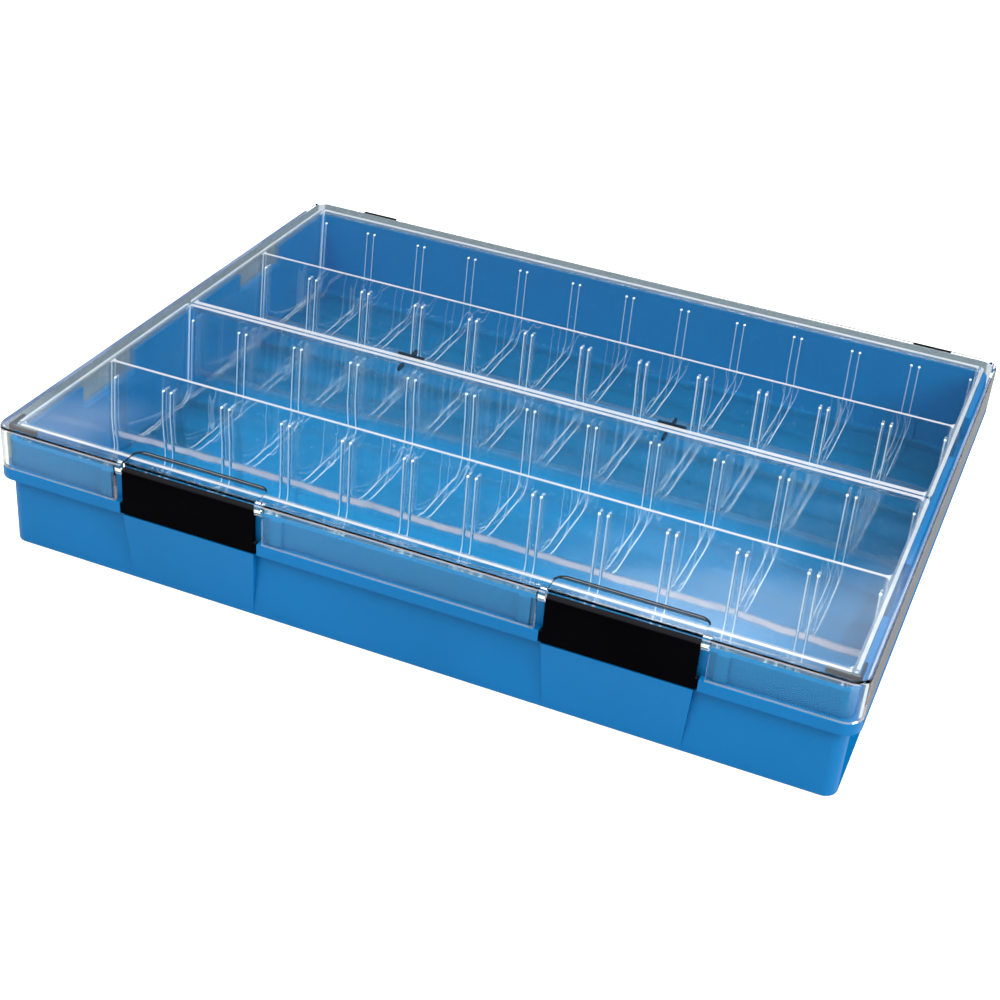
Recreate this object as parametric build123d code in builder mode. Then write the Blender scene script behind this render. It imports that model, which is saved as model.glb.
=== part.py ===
"""Sewing box with two lift-out trays: blue case, clear hinged lid, two black latches."""

import os
from math import sqrt

from build123d import *

os.makedirs("parts", exist_ok=True)

# Case outline, measured over the rim. X runs along the front, Y to the back, Z up from the underside.
case_width = 335.0
case_depth = 262.0
rim_corner = 7.0

# Base: thin tray with a straight wall and a hollow rim round it. The wall above the rim is the collar,
# which stands inside the lid skirt.
base_height = 34.1
base_floor = 2.8
base_wall = 2.3
base_corner = 5.0
base_foot_round = 0.5
rim_height = 4.6
rim_plate = 1.6
rim_lip = 1.6
rim_round = 0.5
wall_inset = 3.4
collar_height = 11.0

# Finger notches in the two ends of the collar, one beside each tray.
finger_notch_width = 37.0
finger_notch_sill = 2.2
finger_notch_slope = 2.0
finger_notch_overrun = 0.25

# Lid: flat plate with a skirt that stands flush with the rim.
lid_plate = 1.8
lid_skirt = 1.8
lid_edge_round = 1.2
skirt_gap = 0.2
back_relief_height = 4.0
back_relief_depth = 7.0

# Trays: two alike, each with one lengthwise partition and ribbed walls for loose dividers.
tray_rise = 15.0
tray_wall = 1.2
tray_floor = 1.2
tray_partition = 1.5
tray_corner = 2.5
tray_clearance = 0.4
tray_gap = 0.8
tray_headroom = 0.3
flange_overhang = 1.1
flange_height = 2.3
flange_round = 0.4
stop_proud = 2.1
stop_width = 3.0
stop_height = 12.0
scoop_height = 13.5
scoop_radius = 30.0
heel_radius = 8.0
cells_per_row = 12
rib_width = 1.2
rib_proud = 1.0
rib_spacing = 3.5
rib_drop = 6.5
rib_root = 0.2
rib_crown = 0.45
rib_tip = 0.8

# Latches: plates hung from the lid's front edge.
latch_width = 55.0
latch_end = 83.8
latch_plate = 1.8
latch_tail_extra = 1.0
latch_tail_height = 4.8
latch_lap = 4.4
latch_round = 0.5
latch_grip_gap = 0.4
latch_axis_inset = 1.8
latch_axis_drop = 1.9
latch_barrel_radius = 1.5
latch_pin_radius = 0.8
latch_bead = 0.2
lid_ear_width = 2.6
lid_ear_radius = 1.75
ear_side_gap = 0.25
notch_side_gap = 0.5
recess_depth = 0.7
recess_run = 11.7
recess_corner = 4.0
plate_cutback = 2.6
rim_notch_gap = 0.3
boss_taper = 1.8
guide_width = 4.6
guide_proud = 1.1

# Hinge: two sets of knuckles on the back edge.
hinge_end = 30.5
hinge_radius = 2.2
hinge_pin_radius = 1.0
hinge_ear_width = 7.5
hinge_knuckle_width = 17.2
hinge_side_gap = 0.4
hinge_slot_gap = 0.5
hinge_slot_drop = 3.7

# Running clearance of a pin in what turns on it, and the snug fit in what holds it.
pin_running = 0.08
pin_snug = 0.02

# Lid locating ribs, which drop beside the trays' top edges.
locator_thick = 1.0
locator_drop = 1.9
locator_long = 12.0
locator_short = 9.0
locator_gap = 1.0
locator_corner_gap = 0.5
cross_arm = 6.0
cross_offset = 57.5

# Worked out from the sizes above.
half_width = case_width / 2
half_depth = case_depth / 2
front = -half_depth
back = half_depth
rim_bottom = base_height - rim_height
collar_top = base_height + collar_height
cavity_inset = wall_inset + base_wall
cavity_width = case_width - 2 * cavity_inset
cavity_depth = case_depth - 2 * cavity_inset

tray_top = base_height + tray_rise
tray_height = tray_top - base_floor
tray_floor_z = base_floor + tray_floor
body_length = cavity_width - 2 * tray_clearance
tray_length = body_length + 2 * flange_overhang
stops_apart = cavity_depth - 2 * stop_proud
tray_depth = (stops_apart - 2 * tray_clearance + 2 * flange_overhang - tray_gap) / 2
body_depth = tray_depth - 2 * flange_overhang
tray_offset = (tray_depth + tray_gap) / 2
row_length = body_length - 2 * tray_wall
cell_pitch = row_length / cells_per_row
scoop_run = sqrt(scoop_radius**2 - (scoop_radius - scoop_height) ** 2)

lid_under = tray_top + tray_headroom
lid_top = lid_under + lid_plate
skirt_bottom = base_height + skirt_gap

latch_offset = half_width - latch_end
latch_bottom = base_height - latch_lap
latch_axis_y = front + latch_axis_inset
latch_axis_z = lid_under - latch_axis_drop
latch_half = latch_width / 2
tail_half = latch_half + latch_tail_extra
ear_start = latch_half + ear_side_gap
notch_half = ear_start + lid_ear_width + notch_side_gap
boss_top = latch_bottom - latch_grip_gap
latch_centres = [-latch_offset, latch_offset]

hinge_offset = half_width - hinge_end
hinge_axis_y = back - hinge_radius
hinge_axis_z = base_height
hinge_centres = [-hinge_offset, hinge_offset]
hinge_ear_start = hinge_knuckle_width / 2 + hinge_side_gap


def slab(width, depth, corner, low, high):
    """A rounded rectangular block centred on the case."""
    with BuildPart(mode=Mode.PRIVATE) as body:
        with BuildSketch(Plane.XY.offset(low)):
            RectangleRounded(width, depth, corner)
        extrude(amount=high - low)
    return body.part


def inset_slab(inset, corner, low, high):
    """A rounded block that lies a set distance inside the rim's outline."""
    return slab(case_width - 2 * inset, case_depth - 2 * inset, corner, low, high)


def cross_bar(centre_x, y, z, radius, length):
    """A round bar along X, for pins, knuckles and their holes."""
    with BuildPart(mode=Mode.PRIVATE) as bar:
        with BuildSketch(Plane.YZ.offset(centre_x - length / 2)):
            with Locations((y, z)):
                Circle(radius)
        extrude(amount=length)
    return bar.part


def prism(points, centre_x, length):
    """A straight bar along X with the given outline in Y and Z."""
    with BuildPart(mode=Mode.PRIVATE) as bar:
        with BuildSketch(Plane.YZ.offset(centre_x - length / 2)):
            with BuildLine():
                Polyline(*points, close=True)
            make_face()
        extrude(amount=length)
    return bar.part


def block(x_low, x_high, y_low, y_high, z_low, z_high):
    """A plain box between two corners."""
    points = [(y_low, z_low), (y_high, z_low), (y_high, z_high), (y_low, z_high)]
    return prism(points, (x_low + x_high) / 2, x_high - x_low)


def ring(outer_inset, outer_corner, inner_inset, inner_corner, low, high):
    """A rounded band between two insets from the rim's outline."""
    inner = inset_slab(inner_inset, inner_corner, low, high)
    return inset_slab(outer_inset, outer_corner, low, high) - inner


def at_height(shapes, height):
    """The faces or edges that lie level at a given height."""
    level = []
    for shape in shapes:
        box = shape.bounding_box()
        if abs(box.min.Z - height) < 1e-4 and abs(box.max.Z - height) < 1e-4:
            level.append(shape)
    return level


# Base case
with BuildPart() as base_case:
    add(inset_slab(wall_inset, base_corner, 0, collar_top))
    fillet(base_case.faces().sort_by(Axis.Z)[0].edges(), base_foot_round)
    add(slab(case_width, case_depth, rim_corner, rim_bottom, base_height))
    rim_face = at_height(base_case.faces().filter_by(Axis.Z), base_height)[0]
    fillet(rim_face.outer_wire().edges(), rim_round)
    hollow_top = base_height - rim_plate
    lip_corner = rim_corner - rim_lip
    add(ring(rim_lip, lip_corner, wall_inset, base_corner, rim_bottom, hollow_top), mode=Mode.SUBTRACT)

    # Latch bosses: flush with the rim at the top, and narrower and flush with the wall at the bottom
    for centre in latch_centres:
        add(block(centre - latch_half, centre + latch_half, front, front + cavity_inset, boss_top, base_height))
        for level, half, face in (
            (boss_top, latch_half, front),
            (base_foot_round, latch_half - boss_taper, front + wall_inset),
        ):
            middle = (face + front + cavity_inset) / 2
            with BuildSketch(Plane.XY.offset(level)):
                with Locations((centre, middle)):
                    Rectangle(2 * half, front + cavity_inset - face)
        loft()

    # Inside
    add(inset_slab(cavity_inset, base_corner - base_wall, base_floor, collar_top), mode=Mode.SUBTRACT)

    # Rim notches that take the latch tails
    for centre in latch_centres:
        notch_reach = tail_half + rim_notch_gap
        notch_left = centre - notch_reach
        notch_right = centre + notch_reach
        notch = block(notch_left, notch_right, front, front + wall_inset, boss_top, base_height)
        add(notch, mode=Mode.SUBTRACT)

    # Guide pads on the collar beside each latch
    for centre in latch_centres:
        for side in (-1, 1):
            pad_middle = centre + side * (notch_half + guide_width)
            pad_y = front + wall_inset
            pad_low = pad_middle - guide_width / 2
            add(block(pad_low, pad_low + guide_width, pad_y - guide_proud, pad_y, base_height, collar_top))

    # Finger notches in the ends of the collar, with a sill that slopes inwards
    sill_high = base_height + finger_notch_sill
    for side in (-1, 1):
        outer_x = side * (half_width - wall_inset + finger_notch_overrun)
        inner_x = side * (half_width - cavity_inset - finger_notch_overrun)
        for tray_y in (-tray_offset, tray_offset):
            with BuildSketch(Plane.XZ.offset(-tray_y - finger_notch_width / 2)):
                with BuildLine():
                    Polyline(
                        (outer_x, sill_high),
                        (inner_x, sill_high - finger_notch_slope),
                        (inner_x, collar_top),
                        (outer_x, collar_top),
                        close=True,
                    )
                make_face()
            extrude(amount=finger_notch_width, mode=Mode.SUBTRACT)

    # Stops on the long inner walls that keep the trays in place
    for stop_x in (-hinge_offset, 0, hinge_offset):
        for wall_y in (front + cavity_inset, back - cavity_inset - stop_proud):
            stop_low = stop_x - stop_width / 2
            stop_high = stop_x + stop_width / 2
            add(block(stop_low, stop_high, wall_y, wall_y + stop_proud, base_floor, base_floor + stop_height))

    # Hinge: a slot for each lid knuckle, with an ear on each side of it
    slot_half = hinge_knuckle_width / 2 + hinge_side_gap
    slot_reach = hinge_radius + hinge_slot_gap
    for centre in hinge_centres:
        slot = block(
            centre - slot_half,
            centre + slot_half,
            hinge_axis_y - slot_reach,
            back,
            hinge_axis_z - hinge_slot_drop,
            hinge_axis_z + slot_reach,
        )
        add(slot, mode=Mode.SUBTRACT)
        for side in (-1, 1):
            ear_middle = centre + side * (hinge_ear_start + hinge_ear_width / 2)
            add(cross_bar(ear_middle, hinge_axis_y, hinge_axis_z, hinge_radius, hinge_ear_width))
        hole_length = 2 * (hinge_ear_start + hinge_ear_width)
        hole = cross_bar(centre, hinge_axis_y, hinge_axis_z, hinge_pin_radius + pin_snug, hole_length)
        add(hole, mode=Mode.SUBTRACT)
base_case.part.label = "base_case"
export_step(base_case.part, "parts/base_case.step")


# Lid
with BuildPart() as lid:
    add(slab(case_width, case_depth, rim_corner, skirt_bottom, lid_top))
    fillet(lid.faces().sort_by(Axis.Z)[-1].edges(), lid_edge_round)
    add(inset_slab(lid_skirt, rim_corner - lid_skirt, skirt_bottom, lid_under), mode=Mode.SUBTRACT)

    # The back of the skirt stops higher, so that it clears the rim as the lid opens
    relief_top = base_height + back_relief_height
    relief = block(-half_width, half_width, back - back_relief_depth, back, skirt_bottom, relief_top)
    add(relief, mode=Mode.SUBTRACT)

    # Knuckles on the skirt, with an arm down to each
    for centre in hinge_centres:
        knuckle_low = centre - hinge_knuckle_width / 2
        knuckle_high = centre + hinge_knuckle_width / 2
        add(block(knuckle_low, knuckle_high, back - lid_skirt, back, hinge_axis_z, relief_top))
        add(cross_bar(centre, hinge_axis_y, hinge_axis_z, hinge_radius, hinge_knuckle_width))
        running_hole = hinge_pin_radius + pin_running
        hole = cross_bar(centre, hinge_axis_y, hinge_axis_z, running_hole, hinge_knuckle_width)
        add(hole, mode=Mode.SUBTRACT)

    # Openings in the skirt for the latches, ears that hold their pins, and the recess above
    for centre in latch_centres:
        gap_left = centre - notch_half
        gap_right = centre + notch_half
        gap = block(gap_left, gap_right, front, front + lid_skirt, skirt_bottom, lid_under)
        add(gap, mode=Mode.SUBTRACT)
        cutback = block(
            centre - ear_start,
            centre + ear_start,
            front,
            front + plate_cutback,
            lid_under,
            lid_top,
        )
        add(cutback, mode=Mode.SUBTRACT)
        for side in (-1, 1):
            ear_x = centre + side * (ear_start + lid_ear_width / 2)
            web_back = latch_axis_y + lid_ear_radius
            ear_low = ear_x - lid_ear_width / 2
            ear_high = ear_x + lid_ear_width / 2
            web_front = latch_axis_y - lid_ear_radius
            add(block(ear_low, ear_high, web_front, web_back, latch_axis_z, lid_under))
            add(cross_bar(ear_x, latch_axis_y, latch_axis_z, lid_ear_radius, lid_ear_width))
        hole_length = 2 * (ear_start + lid_ear_width)
        hole = cross_bar(centre, latch_axis_y, latch_axis_z, latch_pin_radius + pin_snug, hole_length)
        add(hole, mode=Mode.SUBTRACT)
        with BuildSketch(Plane.XY.offset(lid_top - recess_depth)):
            with Locations((centre, front + recess_run / 2 - recess_corner)):
                RectangleRounded(2 * ear_start, recess_run + 2 * recess_corner, recess_corner)
        extrude(amount=recess_depth, mode=Mode.SUBTRACT)

    # Locating ribs under the plate: an L round each front corner and a T behind the middle line
    rib_low = lid_under - locator_drop
    rib_y = -tray_offset - tray_depth / 2 - locator_corner_gap - locator_thick
    rib_x = tray_length / 2 + locator_corner_gap + locator_thick
    for side in (-1, 1):
        outer = side * rib_x
        along = side * (rib_x - locator_long)
        long_left, long_right = sorted((outer, along))
        add(block(long_left, long_right, rib_y, rib_y + locator_thick, rib_low, lid_under))
        inner = side * (rib_x - locator_thick)
        short_left, short_right = sorted((outer, inner))
        add(block(short_left, short_right, rib_y, rib_y + locator_short, rib_low, lid_under))
        middle_y = tray_gap / 2 + flange_overhang + tray_wall + locator_gap
        arm_x = side * cross_offset
        arm_half = locator_thick / 2
        bar_half = locator_long / 2
        bar_left = arm_x - bar_half
        bar_right = arm_x + bar_half
        add(block(bar_left, bar_right, middle_y, middle_y + locator_thick, rib_low, lid_under))
        arm_left = arm_x - arm_half
        arm_right = arm_x + arm_half
        add(block(arm_left, arm_right, middle_y, middle_y + cross_arm, rib_low, lid_under))
        front_arm = -middle_y - locator_short / 2
        add(block(arm_left, arm_right, front_arm, -middle_y, rib_low, lid_under))
lid.part.label = "lid"
export_step(lid.part, "parts/lid.step")


# Trays: each row is the same trough, scooped in front and rounded at the heel of its back wall
row_width = body_depth / 2 - tray_wall - tray_partition / 2
scoop_centre = (scoop_run, tray_floor_z + scoop_radius)
heel_centre = (row_width - heel_radius, tray_floor_z + heel_radius)


def draw_trough(inset, top, mode=Mode.ADD):
    """Draw one row's hollow as seen from its end, drawn in by an inset. Its front wall lies at zero."""
    radius = scoop_radius - inset
    reach = scoop_run - inset
    floor_z = tray_floor_z + inset
    crease = scoop_centre[1] - sqrt(radius**2 - reach**2)
    halfway = (scoop_run - reach / 2, scoop_centre[1] - sqrt(radius**2 - reach**2 / 4))
    heel_middle = (heel_radius - inset) / sqrt(2)
    with BuildLine(Plane.XY) as outline:
        floor = Line((scoop_run, floor_z), (heel_centre[0], floor_z))
        walls = Polyline(
            (row_width - inset, heel_centre[1]),
            (row_width - inset, top),
            (inset, top),
            (inset, crease),
        )
        ThreePointArc(floor @ 1, (heel_centre[0] + heel_middle, heel_centre[1] - heel_middle), walls @ 0)
        ThreePointArc(walls @ 1, halfway, floor @ 0)
    make_face(outline.edges(), mode=mode)


def within(point, centre, radius):
    """Whether a point of a rib lies inside a rounding of the trough."""
    return sqrt((point.Y - centre[0]) ** 2 + (point.Z - centre[1]) ** 2) < radius


def stands_proud(face):
    """Whether a rib's face lies away from the wall that the rib stands on."""
    point = face.center()
    margin = rib_proud / 4
    if abs(point.X) > rib_width / 4:
        return False
    if not (margin < point.Y < row_width - margin and point.Z > tray_floor_z + margin):
        return False
    if point.Y > heel_centre[0] and point.Z < heel_centre[1]:
        return within(point, heel_centre, heel_radius - margin)
    if point.Y < scoop_run and point.Z < tray_floor_z + scoop_height:
        return within(point, scoop_centre, scoop_radius - margin)
    return True


with BuildPart() as row_hollow:
    with BuildSketch(Plane.YZ.offset(-row_length / 2)):
        draw_trough(0, tray_top)
    extrude(amount=row_length)
    end_edges = row_hollow.faces().filter_by(Axis.X).edges()
    fillet([e for e in end_edges if e.bounding_box().min.Z < tray_top - flange_height], tray_corner)

# The space below a scoop, which keeps the scoop as thin as the floor
under_radius = scoop_radius + tray_floor
under_step = tray_floor / 2
under_far = sqrt(under_radius**2 - (under_radius - under_step) ** 2)
under_half = (scoop_run + under_far) / 2
with BuildPart() as scoop_hollow:
    with BuildSketch(Plane.YZ.offset(-row_length / 2)):
        with BuildLine():
            walls = Polyline(
                (scoop_run - under_far, base_floor + under_step),
                (scoop_run - under_far, base_floor),
                (0, base_floor),
                (0, scoop_centre[1] - sqrt(under_radius**2 - scoop_run**2)),
            )
            halfway = (scoop_run - under_half, scoop_centre[1] - sqrt(under_radius**2 - under_half**2))
            ThreePointArc(walls @ 1, halfway, walls @ 0)
        make_face()
    extrude(amount=row_length)

# A rib runs down the front wall, over the scoop and the floor, and up the back wall
with BuildPart() as rib:
    with BuildSketch(Plane.YZ.offset(-rib_width / 2)) as band:
        draw_trough(-rib_root, tray_top - rib_drop)
        draw_trough(rib_proud, tray_top, mode=Mode.SUBTRACT)
        tips = band.vertices().group_by(Axis.Y)[-1].sort_by(Axis.X)
        fillet([tips[1], tips[2]], rib_tip)
    extrude(amount=rib_width)
    crown_edges = rib.faces().filter_by(stands_proud).edges()
    fillet([e for e in crown_edges if abs(abs(e.center().X) - rib_width / 2) < 1e-4], rib_crown)

# Pairs of ribs between the cells, and a single rib beside each end wall
end_rib = row_length / 2 - (rib_spacing + rib_width) / 2
rib_places = [-end_rib, end_rib]
for cell in range(1, cells_per_row):
    between = -row_length / 2 + cell * cell_pitch
    rib_places += [between - rib_spacing / 2, between + rib_spacing / 2]

row_places = [-body_depth / 2 + tray_wall, tray_partition / 2]
with BuildPart() as tray:
    with BuildSketch(Plane.XY.offset(base_floor)):
        RectangleRounded(body_length, body_depth, tray_corner)
    extrude(amount=tray_height)
    with BuildSketch(Plane.XY.offset(tray_top - flange_height)):
        RectangleRounded(tray_length, tray_depth, tray_corner)
    extrude(amount=flange_height)
    fillet(tray.faces().sort_by(Axis.Z)[-1].edges(), flange_round)
    with Locations(*[(0, y, 0) for y in row_places]):
        add(row_hollow.part, mode=Mode.SUBTRACT)
        add(scoop_hollow.part, mode=Mode.SUBTRACT)
    with Locations(*[(x, y, 0) for y in row_places for x in rib_places]):
        add(rib.part)

for name, centre_y in (("tray_front", -tray_offset), ("tray_back", tray_offset)):
    placed_tray = Pos(0, centre_y, 0) * tray.part
    placed_tray.label = name
    export_step(placed_tray, f"parts/{name}.step")


# Latches and their pins
def latch_at(centre):
    """A latch: barrel at the top, plate, and a wider tail that covers the rim."""
    plate_back = front + latch_plate
    bevel_low = latch_axis_z - latch_barrel_radius
    tail_top = latch_bottom + latch_tail_height
    with BuildPart() as latch:
        plate = [
            (front, latch_bottom),
            (front, bevel_low),
            (latch_axis_y - latch_barrel_radius, latch_axis_z),
            (latch_axis_y + latch_barrel_radius, latch_axis_z),
            (plate_back, bevel_low),
            (plate_back, latch_bottom),
        ]
        add(prism(plate, centre, latch_width))
        add(cross_bar(centre, latch_axis_y, latch_axis_z, latch_barrel_radius, latch_width))
        tail = block(centre - tail_half, centre + tail_half, front, plate_back, latch_bottom, tail_top)
        add(tail)
        bead_z = (boss_top + base_height) / 2
        bead = [
            (plate_back, bead_z - latch_bead),
            (plate_back + latch_bead, bead_z),
            (plate_back, bead_z + latch_bead),
        ]
        add(prism(bead, centre, latch_width))
        hole = cross_bar(centre, latch_axis_y, latch_axis_z, latch_pin_radius + pin_running, latch_width)
        add(hole, mode=Mode.SUBTRACT)
        low_front = [e for e in latch.edges().filter_by(Axis.X) if abs(e.center().Y - front) < 1e-4]
        fillet(sorted(low_front, key=lambda e: e.center().Z)[:1], latch_round)
    return latch.part


latch_left = latch_at(-latch_offset)
latch_right = latch_at(latch_offset)
for latch, name in ((latch_left, "latch_left"), (latch_right, "latch_right")):
    latch.label = name
    export_step(latch, f"parts/{name}.step")

for centre, side in ((-latch_offset, "left"), (latch_offset, "right")):
    pin_length = 2 * (ear_start + lid_ear_width)
    pin = cross_bar(centre, latch_axis_y, latch_axis_z, latch_pin_radius, pin_length)
    pin.label = f"latch_pin_{side}"
    export_step(pin, f"parts/latch_pin_{side}.step")

for centre, side in ((-hinge_offset, "left"), (hinge_offset, "right")):
    pin_length = 2 * (hinge_ear_start + hinge_ear_width)
    pin = cross_bar(centre, hinge_axis_y, hinge_axis_z, hinge_pin_radius, pin_length)
    pin.label = f"hinge_pin_{side}"
    export_step(pin, f"parts/hinge_pin_{side}.step")
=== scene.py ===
"""Looks of the sewing box with trays: blue case, clear lid and trays, black latches."""

import math

import bmesh
import bpy
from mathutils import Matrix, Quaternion, Vector


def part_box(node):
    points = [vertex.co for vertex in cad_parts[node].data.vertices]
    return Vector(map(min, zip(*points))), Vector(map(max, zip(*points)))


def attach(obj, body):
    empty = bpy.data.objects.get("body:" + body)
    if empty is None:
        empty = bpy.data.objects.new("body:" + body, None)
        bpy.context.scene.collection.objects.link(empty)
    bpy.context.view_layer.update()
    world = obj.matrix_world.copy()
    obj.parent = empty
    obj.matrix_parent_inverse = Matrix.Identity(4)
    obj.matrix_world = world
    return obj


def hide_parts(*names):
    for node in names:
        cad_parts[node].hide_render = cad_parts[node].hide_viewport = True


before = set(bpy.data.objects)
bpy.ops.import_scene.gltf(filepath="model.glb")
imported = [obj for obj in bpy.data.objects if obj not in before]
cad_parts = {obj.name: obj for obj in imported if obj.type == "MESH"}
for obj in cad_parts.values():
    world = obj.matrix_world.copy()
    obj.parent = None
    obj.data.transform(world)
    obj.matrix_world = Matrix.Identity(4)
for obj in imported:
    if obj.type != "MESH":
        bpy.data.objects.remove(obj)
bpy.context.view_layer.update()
LID_LOW, LID_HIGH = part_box("lid")
TRAY_LOW, TRAY_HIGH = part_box("tray_front")

bl_info = {
    "name": "Sewing box with trays",
    "version": (1, 0, 0),
    "blender": (4, 5, 0),
    "location": "View3D > Sidebar > Sewing box",
    "description": "Dresses the packed sewing box and sets its studio",
    "category": "Object",
}

MM = 0.001
WELD = 1e-6
FLAT = math.radians(0.4)
CREASE = math.radians(28.0)
WHITE = (1.0, 1.0, 1.0)
BLACK = (0.0, 0.0, 0.0)

# Sizes of the trays that their box doesn't show
FLANGE = 1.1 * MM
END_WALL = 1.2 * MM
MIDDLE_WALL = 1.5 * MM
ROW_END = TRAY_HIGH.x - FLANGE - END_WALL
CELLS = 12

# To a rib, from the middle of its pair or from the row's end
RIB_OFF_PAIR = 1.75 * MM
RIB_OFF_END = 2.35 * MM

# Where the case's inside is painted lighter, by height
UNDERSIDE = 1.25 * MM
FLOOR_TOP = 3.2 * MM

# Places of the lid's tints, painted shade and painted highlights, inwards from its faces
LID_END_FACE = 0.6 * MM
LID_FRONT_FACE = 0.8 * MM
LID_RIM = 1.15 * MM
LID_WALL = 2.4 * MM
LOCATOR_END = 2.55 * MM
LOCATOR_SIDE = 4.75 * MM
LOCATOR_START = 0.2 * MM
CUT_END = 5.0 * MM
CUT_START = 4.4 * MM
FOOT_HEIGHT = 0.6 * MM

# Hollows in the lid's top, behind the latches
HOLLOW_NEAR = 2.5 * MM
HOLLOW_FAR = 11.9 * MM
HOLLOW_END = 20.0 * MM
HOLLOW_LIP = 0.75 * MM
HOLLOW_FLOOR = 0.625 * MM
# Where the painted shade lies at the back of the hollows
DARK_NEAR = 3.0 * MM
DARK_FLOOR = 10.4 * MM
DARK_FAR = 12.6 * MM
DARK_END = 25.0 * MM

# Sink marks of the trays, and where their painted highlights and painted glow lie
SINK_REACH = 4.5 * MM
EDGE_DEPTH = 0.4 * MM
LINE_WIDTH = 0.245 * MM
RAIL_WIDTH = 0.7 * MM
FADE_START = 107.5 * MM
CREASE_SHIFT = 1.2 * MM
CREASE_WAVE = 2.0 * MM

# Cosines between which a face comes to count as turned that way
FACING = (0.5, 0.7)

# Studio
AIM = (0.0, 0.0, 0.02)
FLOOR_DROP = 0.2 * MM
FLOOR_PAINT = (0.80, 0.80, 0.80)
FLOOR_GLOW = 0.62
SKY_STRENGTH = 1.9
PATCH_STRENGTH = 4.4

# Grey of the sky, by height
SKY = ((0.0, 0.10), (0.50, 0.05), (0.60, 0.10), (0.72, 0.95), (1.0, 1.0))


class Sock:
    """An output socket whose arithmetic adds Math nodes."""

    def __init__(self, tree, socket):
        self.tree = tree
        self.socket = socket

    def _math(self, operation, *values):
        return self.tree.node("ShaderNodeMath", {"operation": operation}, values)

    def __add__(self, other):
        return self._math("ADD", self, other)

    def __radd__(self, other):
        return self._math("ADD", other, self)

    def __sub__(self, other):
        return self._math("SUBTRACT", self, other)

    def __rsub__(self, other):
        return self._math("SUBTRACT", other, self)

    def __mul__(self, other):
        return self._math("MULTIPLY", self, other)

    def __rmul__(self, other):
        return self._math("MULTIPLY", other, self)

    def __truediv__(self, other):
        return self._math("DIVIDE", self, other)

    def __rtruediv__(self, other):
        return self._math("DIVIDE", other, self)

    def __neg__(self):
        return 0.0 - self

    def __abs__(self):
        return self._math("ABSOLUTE", self)

    def at_least(self, other):
        return self._math("MAXIMUM", self, other)

    def at_most(self, other):
        return self._math("MINIMUM", self, other)

    def ping_pong(self, scale):
        return self._math("PINGPONG", self, scale)

    def ramp(self, low, high):
        """0 at low, 1 at high, smooth between them. Low may be the larger."""
        first, last = (0.0, 1.0) if low < high else (1.0, 0.0)
        values = [self, min(low, high), max(low, high), first, last]
        return self.tree.node("ShaderNodeMapRange", {"interpolation_type": "SMOOTHSTEP"}, values)

    def within(self, limit, soft):
        """1 below a limit and 0 above it, over a soft edge of that width."""
        return self.ramp(limit + soft / 2, limit - soft / 2)

    def beyond(self, limit, soft):
        """1 above a limit and 0 below it, over a soft edge of that width."""
        return self.ramp(limit - soft / 2, limit + soft / 2)


def rgba(colour):
    """A colour with its alpha. A socket stays as it is."""
    return colour if isinstance(colour, Sock) else (*colour, 1.0)


class Shader:
    """A material's or the world's node tree, built a node at a time."""

    def __init__(self, owner):
        owner.use_nodes = True
        self.nodes = owner.node_tree.nodes
        self.links = owner.node_tree.links
        self.nodes.clear()

    def node(self, kind, settings=None, values=None, out=0):
        """Adds a node of that kind, sets it up, fills its sockets and returns one of its outputs."""
        made = self.nodes.new(kind)
        for key, value in (settings or {}).items():
            if key == "stops":
                self._stops(made.color_ramp, value)
            else:
                setattr(made, key, value)
        pairs = values.items() if isinstance(values, dict) else enumerate(values or [])
        for key, value in pairs:
            if isinstance(value, Sock):
                self.links.new(value.socket, made.inputs[key])
            else:
                made.inputs[key].default_value = value
        if not made.outputs:
            return None
        return Sock(self, made.outputs[out])

    @staticmethod
    def _stops(ramp, stops):
        while len(ramp.elements) > 1:
            ramp.elements.remove(ramp.elements[-1])
        for index, (place, colour) in enumerate(stops):
            element = ramp.elements[0] if index == 0 else ramp.elements.new(place)
            element.position = place
            element.color = colour

    def place(self):
        """Object coordinates."""
        return self.node("ShaderNodeTexCoord", out="Object")

    def axes(self, vector):
        """The three numbers of a vector."""
        split = self.node("ShaderNodeSeparateXYZ", None, [vector])
        return [Sock(self, out) for out in split.socket.node.outputs]

    def noise(self, scale, detail=2.0, roughness=0.5):
        values = {"Vector": self.place(), "Scale": scale, "Detail": detail, "Roughness": roughness}
        return self.node("ShaderNodeTexNoise", None, values)

    def slant(self):
        """0 where the skin is seen square on, 1 where it is seen along its face."""
        return self.node("ShaderNodeLayerWeight", None, {"Blend": 0.5}, out="Facing")

    def colour_mix(self, share, one, two):
        values = {0: share, 6: rgba(one), 7: rgba(two)}
        return self.node("ShaderNodeMix", {"data_type": "RGBA"}, values, out=2)

    def bump(self, height, strength, distance):
        values = {"Height": height, "Strength": strength, "Distance": distance}
        return self.node("ShaderNodeBump", None, values)

    def light_path(self, *names):
        path = self.node("ShaderNodeLightPath").socket.node
        return [Sock(self, path.outputs[name]) for name in names]

    def principled(self, **values):
        named = {key.replace("_", " "): value for key, value in values.items()}
        return self.node("ShaderNodeBsdfPrincipled", None, named)

    def matt(self, colour):
        return self.node("ShaderNodeBsdfDiffuse", None, {"Color": rgba(colour)})

    def see_through(self, colour):
        return self.node("ShaderNodeBsdfTransparent", None, {"Color": rgba(colour)})

    def background(self, colour, strength):
        return self.node("ShaderNodeBackground", None, {"Color": rgba(colour), "Strength": strength})

    def mix(self, share, one, two):
        return self.node("ShaderNodeMixShader", None, [share, one, two])

    def surface(self, shader, kind="ShaderNodeOutputMaterial"):
        self.node(kind, None, {"Surface": shader})


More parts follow.
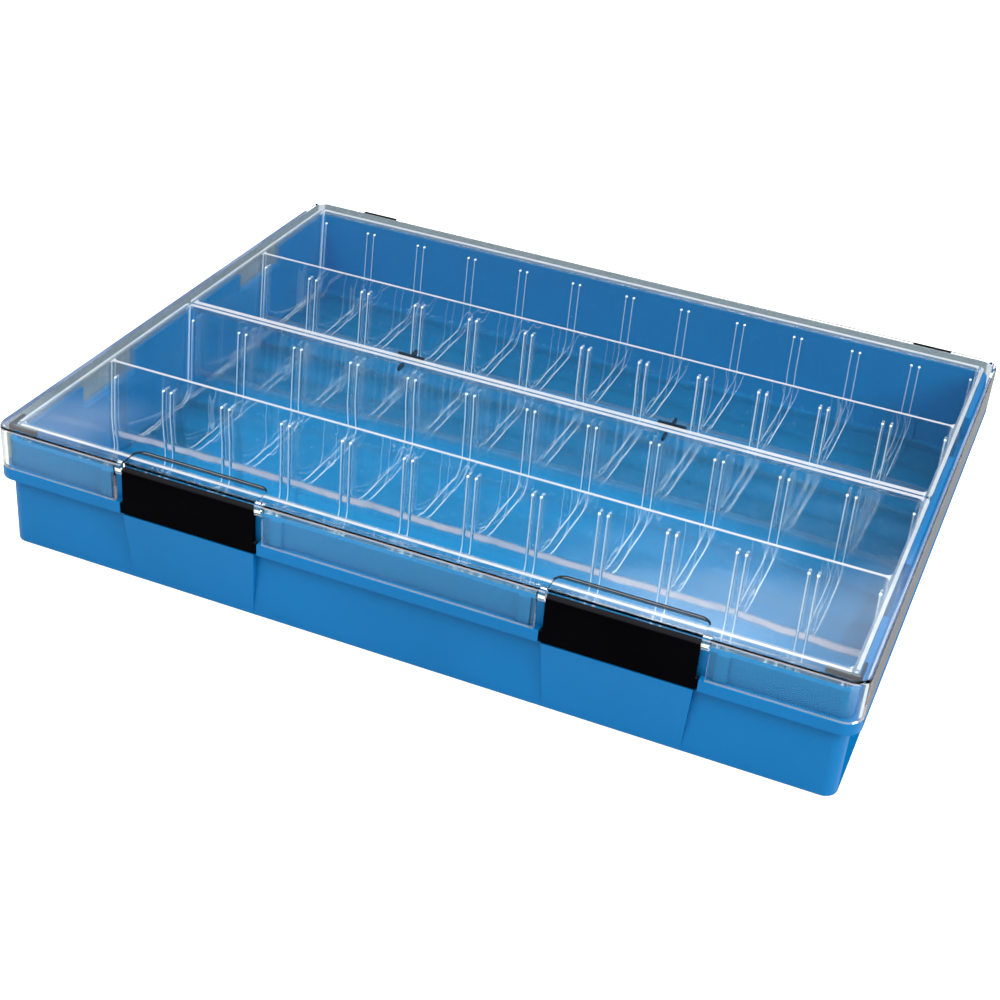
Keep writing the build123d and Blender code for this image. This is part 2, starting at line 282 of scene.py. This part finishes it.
class Skin:
    """Where a point of a piece lies, and which way the piece's skin faces there."""

    def __init__(self, s):
        self.x, self.y, self.z = s.axes(s.place())
        normal = s.node("ShaderNodeNewGeometry", out="Normal")
        # The seen normal faces the ray, also from within. The skin's own always points outwards.
        self.seen_across, self.seen_rear, seen_up = s.axes(normal)
        self.from_within = Sock(s, normal.socket.node.outputs["Backfacing"])
        turn = 1.0 - self.from_within * 2.0
        self.across = self.seen_across * turn
        self.rear = self.seen_rear * turn
        self.up = seen_up * turn


class LidSkin(Skin):
    """The lid's skin, with distances inwards from its faces."""

    def __init__(self, s, sizes):
        super().__init__(s)
        self.from_end = sizes.lid_end - abs(self.x)
        self.from_side = sizes.lid_back - abs(self.y)
        self.from_front = self.y + sizes.lid_back
        self.from_back = sizes.lid_back - self.y
        self.from_top = sizes.lid_top - self.z
        self.below_plate = sizes.lid_under - self.z
        self.above_foot = self.z - sizes.skirt_foot


class TraySkin(Skin):
    """The trays' skin, with distances from their walls and ribs."""

    def __init__(self, s, sizes):
        super().__init__(s)
        self.past_end = abs(self.x) - sizes.row_end
        self.from_front = self.y + sizes.tray_far
        self.from_top = sizes.tray_top - self.z
        self.above_rib = self.z - sizes.rib_top
        # A whole number of cells to the side, so that the count never falls below nought
        shifted = self.x + sizes.cell_pitch * CELLS
        self.off_pair = shifted.ping_pong(sizes.cell_pitch / 2)


def new_material(name):
    material = bpy.data.materials.new(name)
    return material, Shader(material)


def moulded_blue(colours, sizes):
    """Case plastic: a fine spark-eroded grain and faint flow clouds in the colour, with painted light that
    draws the inside lighter, and painted shade on outer faces seen edge-on.
    """
    material, s = new_material("moulded_blue")
    clouds = s.noise(14.0, detail=3.0)
    grain = s.noise(2600.0, roughness=0.6)
    x, y, z = s.axes(s.place())
    # Painted light: the inside walls and floor are drawn in lighter blues than the outside, the floor a
    # little less light than the walls.
    inside = (abs(x) - sizes.cavity_end).ramp(0.3 * MM, 0.0)
    inside = inside * (abs(y) - sizes.cavity_side).ramp(0.3 * MM, 0.0)
    inside = inside * z.beyond(UNDERSIDE, soft=0.5 * MM)
    on_floor = z.within(FLOOR_TOP, soft=0.4 * MM)
    inner = s.colour_mix(on_floor, colours.inside_lit_blue, colours.floor_lit_blue)
    blue = s.colour_mix(inside, colours.case_blue, inner)
    tint = s.colour_mix(clouds.ramp(0.3, 0.7) * 0.1, blue, BLACK)
    plastic = s.principled(
        Base_Color=tint,
        Roughness=0.36 + grain * 0.10 + clouds * 0.06,
        IOR=1.49,
        Specular_IOR_Level=0.1,
        Normal=s.bump(grain, strength=0.18, distance=0.06 * MM),
    )
    # Painted shade: outer faces seen edge-on are drawn as a darker matt blue in place of their gloss.
    slant_shade_blue = [c * 0.8 for c in colours.case_blue]
    slant_shade_share = s.slant().ramp(0.68, 0.88) * (1.0 - inside)
    s.surface(s.mix(slant_shade_share, plastic, s.matt(slant_shade_blue)))
    return material


def moulded_black(colours):
    """Latch plastic: near-black, satin, with a fine grain and a painted sky reflection that makes its
    upward faces paler.
    """
    material, s = new_material("moulded_black")
    grain = s.noise(2200.0, roughness=0.6)
    clouds = s.noise(40.0)
    lighter = [c * 2.0 for c in colours.latch_black]
    tint = s.colour_mix(clouds.ramp(0.35, 0.75), colours.latch_black, lighter)
    # Painted highlight: faces turned upwards take a paler colour that stands in for the sky's reflection.
    tint = s.colour_mix(Skin(s).up.ramp(0.15, 0.6), tint, colours.latch_top_sheen)
    plastic = s.principled(
        Base_Color=tint,
        Roughness=0.34 + grain * 0.14,
        IOR=1.48,
        Specular_IOR_Level=0.006,
        Normal=s.bump(grain, strength=0.2, distance=0.05 * MM),
    )
    s.surface(plastic)
    return material


def pin_steel(colours):
    """Drawn pin wire with faint rings."""
    material, s = new_material("pin_steel")
    along = s.axes(s.place())[0]
    rings = s.node("ShaderNodeTexNoise", {"noise_dimensions": "1D"}, {"W": along, "Scale": 4000.0})
    steel = rgba(colours.pin_grey)
    s.surface(s.principled(Base_Color=steel, Metallic=1.0, Roughness=0.22 + rings * 0.18))
    return material


def clear_shader(s, normal, tint, gloss):
    """Clear polystyrene."""
    return s.principled(
        Base_Color=tint,
        Roughness=0.012,
        IOR=1.42,
        Specular_Tint=(gloss, gloss, gloss, 1.0),
        Transmission_Weight=1.0,
        Normal=normal,
    )


def let_light_through(s, shader):
    """Shadow and bounced rays pass, so that what lies inside stays lit."""
    shadow, diffuse = s.light_path("Is Shadow Ray", "Is Diffuse Ray")
    return s.mix((shadow + diffuse).at_most(1.0), shader, s.see_through(WHITE))


def bright_edge(s, colour):
    """Edges of the clear plastic that catch the light."""
    return s.principled(Base_Color=rgba(colour), Roughness=0.35, IOR=1.46)


def pale_glow(s, colour):
    """Painted glow at thick places of the clear plastic, a pale sheet that also glows with the light from
    both sides.
    """
    glow = s.node("ShaderNodeBsdfTranslucent", None, {"Color": rgba(colour)})
    return s.mix(0.4, bright_edge(s, colour), glow)


def lid_wall_shade(skin, sizes):
    """Painted shade through the end and back walls, for light on its way out of the box."""
    seen_outwards = skin.seen_across * skin.x * (1.0 / sizes.lid_end)
    ends = skin.from_end.within(LID_WALL, soft=0.4 * MM) * (-seen_outwards).ramp(*FACING)
    back = skin.from_back.within(LID_WALL, soft=0.4 * MM) * (-skin.seen_rear).ramp(*FACING)
    return ends.at_least(back)


def lid_front(skin):
    """The outer face of the front wall."""
    return (-skin.rear).ramp(*FACING) * skin.from_front.within(LID_FRONT_FACE, soft=0.4 * MM)


def lid_ends(skin):
    """Painted grey shade on the outer faces of the end walls, for light from outside."""
    face = skin.from_end.within(LID_END_FACE, soft=0.4 * MM) * abs(skin.across).ramp(0.6, 0.8)
    return face * (1.0 - skin.from_within)


def lid_rim(skin):
    """Painted shade on the rounded outer edge, at the ends and the back."""
    end = skin.from_end.within(LID_RIM, soft=0.3 * MM)
    back = skin.from_back.within(LID_RIM, soft=0.3 * MM)
    return end.at_least(back) * skin.up.ramp(0.05, 0.2) * skin.up.ramp(0.99, 0.9)


def lid_locators(skin):
    """Painted shade on the ribs below the plate, which show as dark marks in the corners."""
    inside = skin.from_end.beyond(LOCATOR_END, soft=0.5 * MM)
    inside = inside * skin.from_side.beyond(LOCATOR_SIDE, soft=0.5 * MM)
    return skin.below_plate.beyond(LOCATOR_START, soft=0.2 * MM) * inside


def lid_hollows(skin):
    """Painted shade on the back wall and the back of the floor of the hollows, which show as a dark line.
    """
    wall = skin.up.ramp(0.96, 0.88) * skin.from_top.within(HOLLOW_LIP, soft=0.1 * MM)
    wall = wall * skin.from_front.beyond(DARK_NEAR, soft=0.4 * MM)
    floor = skin.up.ramp(0.9, 0.95) * skin.from_top.beyond(HOLLOW_FLOOR, soft=0.05 * MM)
    floor = floor * skin.from_front.beyond(DARK_FLOOR, soft=0.6 * MM)
    floor = floor * skin.below_plate.ramp(0.1 * MM, 0.0)
    span = skin.from_front.within(DARK_FAR, soft=0.4 * MM)
    span = span * skin.from_end.beyond(DARK_END, soft=10.0 * MM)
    return wall.at_least(floor) * span


def lid_pale_edges(skin):
    """Painted highlights on the skirt's cut ends beside the latches, its foot, and the round of the front
    edge.
    """
    cut = abs(skin.across).ramp(0.85, 0.95) * skin.from_end.beyond(CUT_END, soft=2.0 * MM)
    cut = cut * skin.below_plate.beyond(CUT_START, soft=0.8 * MM)
    foot = skin.up.ramp(-0.7, -0.9) * skin.above_foot.within(FOOT_HEIGHT, soft=0.4 * MM)
    front = -skin.rear
    shoulder = front.ramp(0.75, 0.85) * front.ramp(0.995, 0.97) * skin.up.ramp(0.0, 0.1)
    return (cut.at_least(foot) * 0.3).at_least(shoulder * 0.5)


def clear_lid(colours, sizes):
    """Lid plastic: clear, with faint moulding ripple, painted shade through its end and back walls, on its
    rim, locator ribs, hollows and end faces, and painted highlights on its pale edges.
    """
    material, s = new_material("clear_lid")
    skin = LidSkin(s, sizes)
    slant = s.slant()
    rim = lid_rim(skin)
    normal = s.bump(s.noise(26.0, detail=1.0), strength=0.25, distance=0.4 * MM)
    # Painted shade: the light passing out through the end and back walls is tinted dark grey.
    tint = s.colour_mix(lid_wall_shade(skin, sizes), colours.clear_tint, colours.wall_shade_tint)
    tint = s.colour_mix(lid_front(skin), tint, colours.skirt_tint)
    # Painted shade: the rounded rim at the ends and back is tinted dark.
    tint = s.colour_mix(rim, tint, colours.rim_shade)
    # Painted shade: the locator ribs below the plate are tinted near-black.
    tint = s.colour_mix(lid_locators(skin), tint, colours.shade_dark)
    glass = clear_shader(s, normal, tint, sizes.lid_gloss)
    # Painted shade: a dark matt coat over the rim seen edge-on and along the back of the hollows.
    dark = (rim * slant.ramp(0.72, 0.92) * 0.75).at_least(lid_hollows(skin) * 0.85)
    glass = s.mix(dark, glass, s.matt(colours.shade_dark))
    # Painted shade: the end faces seen at a slant are drawn as a matt grey.
    grey = lid_ends(skin) * slant.ramp(0.7, 0.88) * 0.92
    glass = s.mix(grey, glass, s.matt(colours.end_face_shade))
    # Painted highlights: the pale edges of the lid are drawn with an opaque whitish surface.
    glass = s.mix(lid_pale_edges(skin), glass, bright_edge(s, colours.edge_white))
    s.surface(let_light_through(s, glass))
    return material


def tray_edges(s, skin):
    """Painted highlights along the top edges, fainter on the inner half of the front and end walls."""
    glinting = s.noise(90.0)
    at_flange = skin.past_end.ramp(-1.0 * MM, 0.0)
    edge = skin.from_top.within(EDGE_DEPTH, soft=0.4 * MM) * skin.up.ramp(0.5, 0.8)
    inner_front = skin.from_front.ramp(1.6 * MM, 1.3 * MM) * skin.from_front.ramp(0.1 * MM, 0.5 * MM)
    inner_end = skin.past_end.ramp(-0.3 * MM, 0.0) * skin.past_end.ramp(1.1 * MM, 0.7 * MM)
    edge = edge * (0.5 + glinting * 0.45 - at_flange * 0.15)
    return edge * (1.0 - inner_front.at_least(inner_end) * 0.75)


def tray_outer_faces(skin, sizes):
    """The outer walls and what looks down, which have no ribs."""
    outer = skin.up.ramp(-0.1, -0.3)
    for wall in (sizes.tray_far, sizes.tray_near):
        outer = outer + abs(abs(skin.y) - wall).ramp(0.4 * MM, 0.2 * MM)
    return outer.at_most(1.0)


def tray_rib_lines(skin, sizes):
    """Painted highlights: the bright lines along the ribs, over the scoops and in the corners of the rows.
    """
    at_end = skin.past_end.ramp(-5.5 * MM, -5.0 * MM)
    off_rib = abs(skin.off_pair - RIB_OFF_PAIR) * (1.0 - at_end) + abs(skin.past_end + RIB_OFF_END) * at_end
    on_rib = skin.above_rib.ramp(0.4 * MM, 0.0) * (1.0 - tray_outer_faces(skin, sizes))
    far_fade = skin.y.beyond(FADE_START, soft=15.0 * MM) * 0.22
    line = off_rib.within(LINE_WIDTH, soft=0.13 * MM) * skin.rear.ramp(0.5, 0.3) * (0.72 - far_fade)
    side = abs(skin.across)
    rail = side.ramp(0.35, 0.5) * side.ramp(0.9, 0.75) * skin.rear.ramp(0.2, 0.4) * 0.6
    rail = rail * off_rib.within(RAIL_WIDTH, soft=0.2 * MM)
    corner = side.ramp(0.55, 0.63) * side.ramp(0.78, 0.70) * 0.6
    corner = corner * skin.past_end.ramp(-3.2 * MM, -2.8 * MM)
    return (line.at_least(rail) * on_rib).at_least(corner)


def tray_rib_tips(skin):
    """Painted highlights on the rounded upper ends of the ribs."""
    tip = skin.above_rib.ramp(-1.0 * MM, -0.5 * MM) * skin.above_rib.ramp(0.6 * MM, 0.2 * MM)
    return tip * skin.up.ramp(0.2, 0.5)


def tray_crease(s, skin, sizes):
    """Where the painted glow lies: the wavy band above the scoops, strongest in the front tray."""
    wave = s.noise(70.0)
    level = skin.z - sizes.crease_height + CREASE_SHIFT + (wave - 0.5) * CREASE_WAVE
    band = level.ramp(-2.0 * MM, -0.4 * MM) * level.ramp(2.4 * MM, 0.6 * MM) * (0.5 + wave * 0.8)
    middle = (sizes.tray_near + sizes.tray_far) / 2
    half = MIDDLE_WALL / 2
    walls = ((-middle - half, 1.0), (middle - half, 0.15), (sizes.tray_near, 0.15))
    reach = 0.0
    for place, strength in walls:
        reach = reach + abs(skin.y - place).ramp(0.5 * MM, 0.2 * MM) * strength
    return band * (-skin.rear).ramp(0.5, 0.75) * reach


def clear_tray(colours, sizes):
    """Tray plastic: clear, sunk a little beside each pair of ribs, with painted highlights on its top edges
    and ribs and a painted glow above the scoops.
    """
    material, s = new_material("clear_tray")
    skin = TraySkin(s, sizes)
    sink = skin.off_pair.within(SINK_REACH, soft=6.0 * MM)
    height = s.noise(30.0, detail=1.0) * 0.25 - sink
    normal = s.bump(height, strength=1.0, distance=sizes.sink_depth)
    bent = clear_shader(s, normal, rgba(colours.clear_tint), sizes.tray_gloss)
    glass = s.mix(sizes.straight_share, bent, s.see_through(colours.clear_tint))
    # Painted glow: the band above the scoops is drawn as a pale glowing sheet.
    glass = s.mix(tray_crease(s, skin, sizes), glass, pale_glow(s, colours.crease_glow_white))
    edges = tray_edges(s, skin)
    # Painted highlights: the top edges, rib lines and rib tips are drawn as an opaque pale surface.
    pale = edges.at_least(tray_rib_lines(skin, sizes)).at_least(tray_rib_tips(skin))
    pale_tint = s.colour_mix(edges, colours.line_white, colours.edge_white)
    s.surface(let_light_through(s, s.mix(pale, glass, bright_edge(s, pale_tint))))
    return material


def merged_copy(node, name):
    """A copy of a part's mesh as one welded skin, its flat faces joined."""
    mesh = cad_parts[node].data.copy()
    mesh.name = name
    work = bmesh.new()
    work.from_mesh(mesh)
    bmesh.ops.remove_doubles(work, verts=work.verts, dist=WELD)
    bmesh.ops.dissolve_limit(work, angle_limit=FLAT, verts=work.verts, edges=work.edges)
    for face in work.faces:
        face.smooth = True
    for edge in work.edges:
        edge.smooth = len(edge.link_faces) != 2 or edge.calc_face_angle(0.0) < CREASE
    work.to_mesh(mesh)
    work.free()
    stored_normals = mesh.attributes.get("custom_normal")
    if stored_normals:
        mesh.attributes.remove(stored_normals)
    piece = bpy.data.objects.new(name, mesh)
    bpy.context.scene.collection.objects.link(piece)
    return piece


def ease_edges(piece, width):
    """Rounds the creases of a piece and keeps its flats flat."""
    bevel = piece.modifiers.new("eased_edges", "BEVEL")
    bevel.limit_method = "ANGLE"
    bevel.angle_limit = CREASE
    bevel.width = width
    bevel.segments = 2
    bevel.miter_outer = "MITER_ARC"
    bevel.use_clamp_overlap = True
    bevel.harden_normals = False
    weighted = piece.modifiers.new("flat_faces", "WEIGHTED_NORMAL")
    weighted.keep_sharp = True


def on_hollow(place):
    """Whether a point of the lid lies on the upper edge of a hollow, away from the lid's ends."""
    on_top = abs(place.z - LID_HIGH.z) < 0.01 * MM
    by_latch = HOLLOW_NEAR < place.y - LID_LOW.y < HOLLOW_FAR
    return on_top and by_latch and abs(place.x) < LID_HIGH.x - HOLLOW_END


def soften_hollows(piece, width):
    """Rounds the upper edge of the hollows behind the latches."""
    work = bmesh.new()
    work.from_mesh(piece.data)
    edges = [
        edge for edge in work.edges
        if all(on_hollow(vert.co) for vert in edge.verts) and edge.calc_face_angle(0.0) > CREASE
    ]
    if not edges:
        raise RuntimeError("the lid's hollows have no upper edges")
    bmesh.ops.bevel(
        work, geom=edges, offset=width, offset_type="OFFSET",
        segments=2, profile=0.5, affect="EDGES", material=-1,
    )
    work.to_mesh(piece.data)
    work.free()


def dress(node, name, material, body, ease=0.0):
    """Stands a finished piece in for a part of the frame."""
    piece = merged_copy(node, name)
    piece.data.materials.clear()
    piece.data.materials.append(material)
    if ease:
        ease_edges(piece, ease)
    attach(piece, body)
    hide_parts(node)
    return piece


def colour(name, description, default):
    return bpy.props.FloatVectorProperty(
        name=name, description=description, subtype="COLOR", default=default
    )


def length(name, description, default):
    return bpy.props.FloatProperty(name=name, description=description, unit="LENGTH", default=default)


def number(name, description, default):
    return bpy.props.FloatProperty(name=name, description=description, default=default)


def angle(name, description, degrees):
    return bpy.props.FloatProperty(
        name=name, description=description, subtype="ANGLE", default=math.radians(degrees)
    )


class BoxColours(bpy.types.PropertyGroup):
    """Colours of the box's plastics and pins, and of the painted light and shade on them"""

    case_blue: colour("Case blue", "Colour of the case", (0.002, 0.146, 0.38))
    # Painted light: the inside and floor blues are the case's blue drawn lighter, as if lit from above.
    inside_lit_blue: colour("Inside blue", "Case's inside, painted lighter as if lit", (0.0015, 0.205, 0.49))
    floor_lit_blue: colour("Floor blue", "Case's floor inside, painted lighter as if lit", (0.0018, 0.180, 0.405))
    latch_black: colour("Latch black", "Colour of the latches", (0.0006, 0.0005, 0.0009))
    # Latch top: painted sky reflection that makes the latches' upward faces paler.
    latch_top_sheen: colour("Latch bevel", "Colour of the latches' worn top", (0.012, 0.012, 0.014))
    clear_tint: colour("Clear tint", "Tint of the clear plastic", (0.985, 0.99, 0.995))
    # Painted shade seen through the clear lid's end and back walls.
    wall_shade_tint: colour("End smoke", "Painted shade through the lid's end and back walls", (0.14, 0.18, 0.20))
    # Painted grey shade on the clear lid's end walls.
    end_face_shade: colour("Wall grey", "Painted grey shade on the lid's end walls", (0.15, 0.155, 0.16))
    skirt_tint: colour("Skirt tint", "Tint of the lid's front wall", (0.93, 0.98, 0.80))
    # Painted shade on the clear lid's rounded rim.
    rim_shade: colour("Rim dark", "Painted shade on the lid's rounded outer edge", (0.10, 0.15, 0.19))
    # Painted highlight colour of the ribs' lines.
    line_white: colour("Line white", "Colour of the ribs' bright lines", (0.80, 0.93, 0.97))
    # Painted shade colour for the lid's locator ribs, rim outline and hollows.
    shade_dark: colour("Locator dark", "Painted shade of the lid's locator ribs, rim and hollows", (0.02, 0.03, 0.04))
    # Painted highlight colour of the clear plastic's edges.
    edge_white: colour("Edge white", "Colour of the trays' bright edges", (0.58, 0.54, 0.555))
    # Painted glow colour for the band above the trays' scoops.
    crease_glow_white: colour("Haze white", "Painted glow at thick places of the clear plastic", (1.0, 0.90, 0.89))
    pin_grey: colour("Pin grey", "Colour of the pins", (0.62, 0.62, 0.64))


class BoxSizes(bpy.types.PropertyGroup):
    """Sizes that the finishes follow"""

    cavity_end: length("Cavity end", "From the middle to the cavity's end", TRAY_HIGH.x - 0.7 * MM)
    cavity_side: length("Cavity side", "From the middle to the cavity's side", 1.4 * MM - TRAY_LOW.y)
    row_end: length("Row end", "From the middle to a row's end wall", ROW_END)
    cell_pitch: length("Cell pitch", "From one pair of ribs to the next", 2 * ROW_END / CELLS)
    tray_far: length("Tray far side", "From the middle to a tray's outer wall", -TRAY_LOW.y - FLANGE)
    tray_near: length("Tray near side", "From the middle to a tray's inner wall", FLANGE - TRAY_HIGH.y)
    tray_top: length("Tray top", "Height of the trays' top edge", TRAY_HIGH.z)
    rib_top: length("Rib top", "Height of the ribs' rounded tips", TRAY_HIGH.z - 6.5 * MM)
    crease_height: length("Crease height", "Height of the crease above each scoop", TRAY_LOW.z + 14.7 * MM)
    lid_end: length("Lid end", "From the middle to the lid's end", LID_HIGH.x)
    lid_back: length("Lid back", "From the middle to the lid's back", LID_HIGH.y)
    lid_top: length("Lid top", "Height of the lid's top", LID_HIGH.z)
    lid_under: length("Lid under", "Height of the lid plate's lower face", TRAY_HIGH.z + 0.3 * MM)
    skirt_foot: length("Skirt foot", "Height of the lid skirt's lower edge", TRAY_HIGH.z - 14.8 * MM)
    sink_depth: length("Sink depth", "How far the wall sinks at a pair of ribs", 0.4 * MM)
    case_ease: length("Case ease", "Rounding of the case's edges", 0.3 * MM)
    latch_ease: length("Latch ease", "Rounding of the latches' edges", 0.4 * MM)
    lid_ease: length("Lid ease", "Rounding of the hollows in the lid's top", 0.5 * MM)
    lid_gloss: number("Lid gloss", "Strength of the lid's reflections", 0.13)
    tray_gloss: number("Tray gloss", "Strength of the trays' reflections", 0.16)
    straight_share: number("Straight share", "Share of light that passes the trays unbent", 0.5)


class StageSettings(bpy.types.PropertyGroup):
    """Studio and camera"""

    camera_place: bpy.props.FloatVectorProperty(
        name="Camera place", description="Where the camera stands", subtype="TRANSLATION",
        default=(0.20692, -0.59699, 0.38665),
    )
    camera_azimuth: angle("Azimuth", "Turn of the view from straight ahead", -20.0544)
    camera_elevation: angle("Elevation", "Tilt of the view", -31.6001)
    camera_roll: angle("Roll", "Turn about the line of sight", 5.0729)
    camera_lens: number("Lens", "Focal length in mm", 63.26)
    floor_half: length("Floor half", "Half the floor's width", 30.0)


class DressCase(bpy.types.Operator):
    """Finishes the blue case"""

    bl_idname = "sewing_box.dress_case"
    bl_label = "Case"

    def execute(self, context):
        box = context.scene.sewing_box
        material = moulded_blue(box.colours, box.sizes)
        dress("base_case", "case_shell", material, "case", box.sizes.case_ease)
        return {"FINISHED"}


class DressTrays(bpy.types.Operator):
    """Finishes the two clear trays"""

    bl_idname = "sewing_box.dress_trays"
    bl_label = "Trays"

    def execute(self, context):
        box = context.scene.sewing_box
        material = clear_tray(box.colours, box.sizes)
        for side in ("front", "back"):
            dress(f"tray_{side}", f"{side}_tray", material, "case")
        return {"FINISHED"}


class DressLid(bpy.types.Operator):
    """Finishes the clear lid"""

    bl_idname = "sewing_box.dress_lid"
    bl_label = "Lid"

    def execute(self, context):
        box = context.scene.sewing_box
        piece = dress("lid", "lid_shell", clear_lid(box.colours, box.sizes), "lid")
        soften_hollows(piece, box.sizes.lid_ease)
        return {"FINISHED"}


class DressLatches(bpy.types.Operator):
    """Finishes the two black latches"""

    bl_idname = "sewing_box.dress_latches"
    bl_label = "Latches"

    def execute(self, context):
        box = context.scene.sewing_box
        material = moulded_black(box.colours)
        ease = box.sizes.latch_ease
        for side in ("left", "right"):
            dress(f"latch_{side}", f"{side}_latch", material, f"latch_{side}", ease)
        return {"FINISHED"}


class DressPins(bpy.types.Operator):
    """Finishes the hinge and latch pins"""

    bl_idname = "sewing_box.dress_pins"
    bl_label = "Pins"

    def execute(self, context):
        material = pin_steel(context.scene.sewing_box.colours)
        for name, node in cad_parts.items():
            if "_pin_" in name:
                node.data.materials.clear()
                node.data.materials.append(material)
        return {"FINISHED"}


def pale_floor():
    """White for the camera and for what gloss and clear plastic show of it; it keeps the shadow."""
    material, s = new_material("pale_floor")
    camera, glossy, through = s.light_path("Is Camera Ray", "Is Glossy Ray", "Is Transmission Ray")
    paint = {"Base_Color": rgba(FLOOR_PAINT), "Roughness": 0.9}
    lit = s.principled(**paint)
    white = s.principled(**paint, Emission_Color=rgba(WHITE), Emission_Strength=FLOOR_GLOW)
    s.surface(s.mix((camera + glossy + through).at_most(1.0), lit, white))
    return material


def add_floor(half):
    """A plain floor just below the box."""
    mesh = bpy.data.meshes.new("floor")
    work = bmesh.new()
    bmesh.ops.create_grid(work, x_segments=1, y_segments=1, size=half)
    bmesh.ops.translate(work, verts=work.verts, vec=(0.0, 0.0, -FLOOR_DROP))
    work.to_mesh(mesh)
    work.free()
    mesh.materials.append(pale_floor())
    floor = bpy.data.objects.new("floor", mesh)
    bpy.context.scene.collection.objects.link(floor)


def window(up, turn, low, high, left, right):
    """A bright patch of sky, whose four edges are soft."""
    return up.ramp(*low) * up.ramp(*high) * turn.ramp(*left) * turn.ramp(*right)


def studio_world():
    """Dim at the horizon and bright overhead, with two bright patches; white for the camera."""
    world = bpy.data.worlds.new("studio")
    bpy.context.scene.world = world
    s = Shader(world)
    right, away, up = s.axes(s.node("ShaderNodeTexCoord", out="Generated"))
    stops = [(height, (level, level, level, 1.0)) for height, level in SKY]
    sky = s.node("ShaderNodeValToRGB", {"stops": stops}, [up.at_least(0.0)])
    turn = right / away.at_least(0.05)
    glow = window(up, turn, low=(0.53, 0.58), high=(0.68, 0.62), left=(-0.36, -0.22), right=(0.15, 0.02))
    side_glow = window(
        up, turn, low=(0.475, 0.50), high=(0.56, 0.52), left=(-1.05, -0.90), right=(-0.68, -0.78)
    )
    light = s.background(sky, SKY_STRENGTH)
    patch = s.background(WHITE, PATCH_STRENGTH)
    lit = s.mix((glow + side_glow * 0.6).at_most(1.0), light, patch)
    camera, glossy, through = s.light_path("Is Camera Ray", "Is Glossy Ray", "Is Transmission Ray")
    seen = camera.at_least((glossy + through) * up.ramp(0.12, 0.08))
    s.surface(s.mix(seen.at_most(1.0), lit, s.background(WHITE, 1.0)), "ShaderNodeOutputWorld")


def add_lamp(name, place, size, power):
    """A softbox that faces the box."""
    lamp = bpy.data.lights.new(name, "AREA")
    lamp.shape = "RECTANGLE"
    lamp.size, lamp.size_y = size
    lamp.energy = power
    holder = bpy.data.objects.new(name, lamp)
    holder.location = place
    holder.rotation_mode = "QUATERNION"
    holder.rotation_quaternion = (Vector(AIM) - Vector(place)).to_track_quat("-Z", "Y")
    bpy.context.scene.collection.objects.link(holder)


def add_camera(stage):
    """The camera, at the photo's viewing angle."""
    camera = bpy.data.cameras.new("camera")
    camera.lens = stage.camera_lens
    camera.sensor_width = 36.0
    camera.clip_start = 0.01
    camera.clip_end = 200.0
    holder = bpy.data.objects.new("camera", camera)
    azimuth, elevation = stage.camera_azimuth, stage.camera_elevation
    level = math.cos(elevation)
    ahead = Vector((math.sin(azimuth) * level, math.cos(azimuth) * level, math.sin(elevation)))
    roll = Quaternion((0, 0, 1), stage.camera_roll)
    holder.rotation_mode = "QUATERNION"
    holder.rotation_quaternion = ahead.to_track_quat("-Z", "Y") @ roll
    holder.location = stage.camera_place
    bpy.context.scene.collection.objects.link(holder)
    bpy.context.scene.camera = holder


class SetStage(bpy.types.Operator):
    """Sets the floor, the lamps and the camera"""

    bl_idname = "sewing_box.set_stage"
    bl_label = "Stage"

    def execute(self, context):
        stage = context.scene.sewing_box.stage
        context.scene.view_settings.view_transform = "Standard"
        cycles = context.scene.cycles
        cycles.max_bounces = 32
        cycles.transmission_bounces = 28
        cycles.transparent_max_bounces = 48
        add_floor(stage.floor_half)
        studio_world()
        add_lamp("key_softbox", place=(-0.6, -1.3, 1.5), size=(0.9, 0.7), power=14)
        add_lamp("fill_softbox", place=(1.5, -0.5, 1.1), size=(0.8, 0.8), power=28)
        add_camera(stage)
        return {"FINISHED"}


class SewingBox(bpy.types.PropertyGroup):
    """All settings of the box"""

    colours: bpy.props.PointerProperty(type=BoxColours, name="Colours", description="Colours of the box")
    sizes: bpy.props.PointerProperty(type=BoxSizes, name="Sizes", description="Sizes of the finishes")
    stage: bpy.props.PointerProperty(type=StageSettings, name="Stage", description="Studio and camera")


OPERATORS = (DressCase, DressTrays, DressLid, DressLatches, DressPins, SetStage)


class SewingBoxPanel(bpy.types.Panel):
    """Lists the box's pieces and settings"""

    bl_idname = "VIEW3D_PT_sewing_box"
    bl_label = "Sewing box"
    bl_space_type = "VIEW_3D"
    bl_region_type = "UI"
    bl_category = "Sewing box"

    def draw(self, context):
        box = context.scene.sewing_box
        for group in (box.colours, box.sizes, box.stage):
            for key in group.bl_rna.properties.keys():
                if key not in ("rna_type", "name"):
                    self.layout.prop(group, key)
        for operator in OPERATORS:
            self.layout.operator(operator.bl_idname)


CLASSES = (BoxColours, BoxSizes, StageSettings, SewingBox, *OPERATORS, SewingBoxPanel)


def register():
    for each in CLASSES:
        bpy.utils.register_class(each)
    bpy.types.Scene.sewing_box = bpy.props.PointerProperty(type=SewingBox)


def unregister():
    del bpy.types.Scene.sewing_box
    for each in reversed(CLASSES):
        bpy.utils.unregister_class(each)


def main():
    register()
    for operator in OPERATORS:
        group, name = operator.bl_idname.split(".")
        getattr(getattr(bpy.ops, group), name)()


if __name__ == "__main__":
    main()
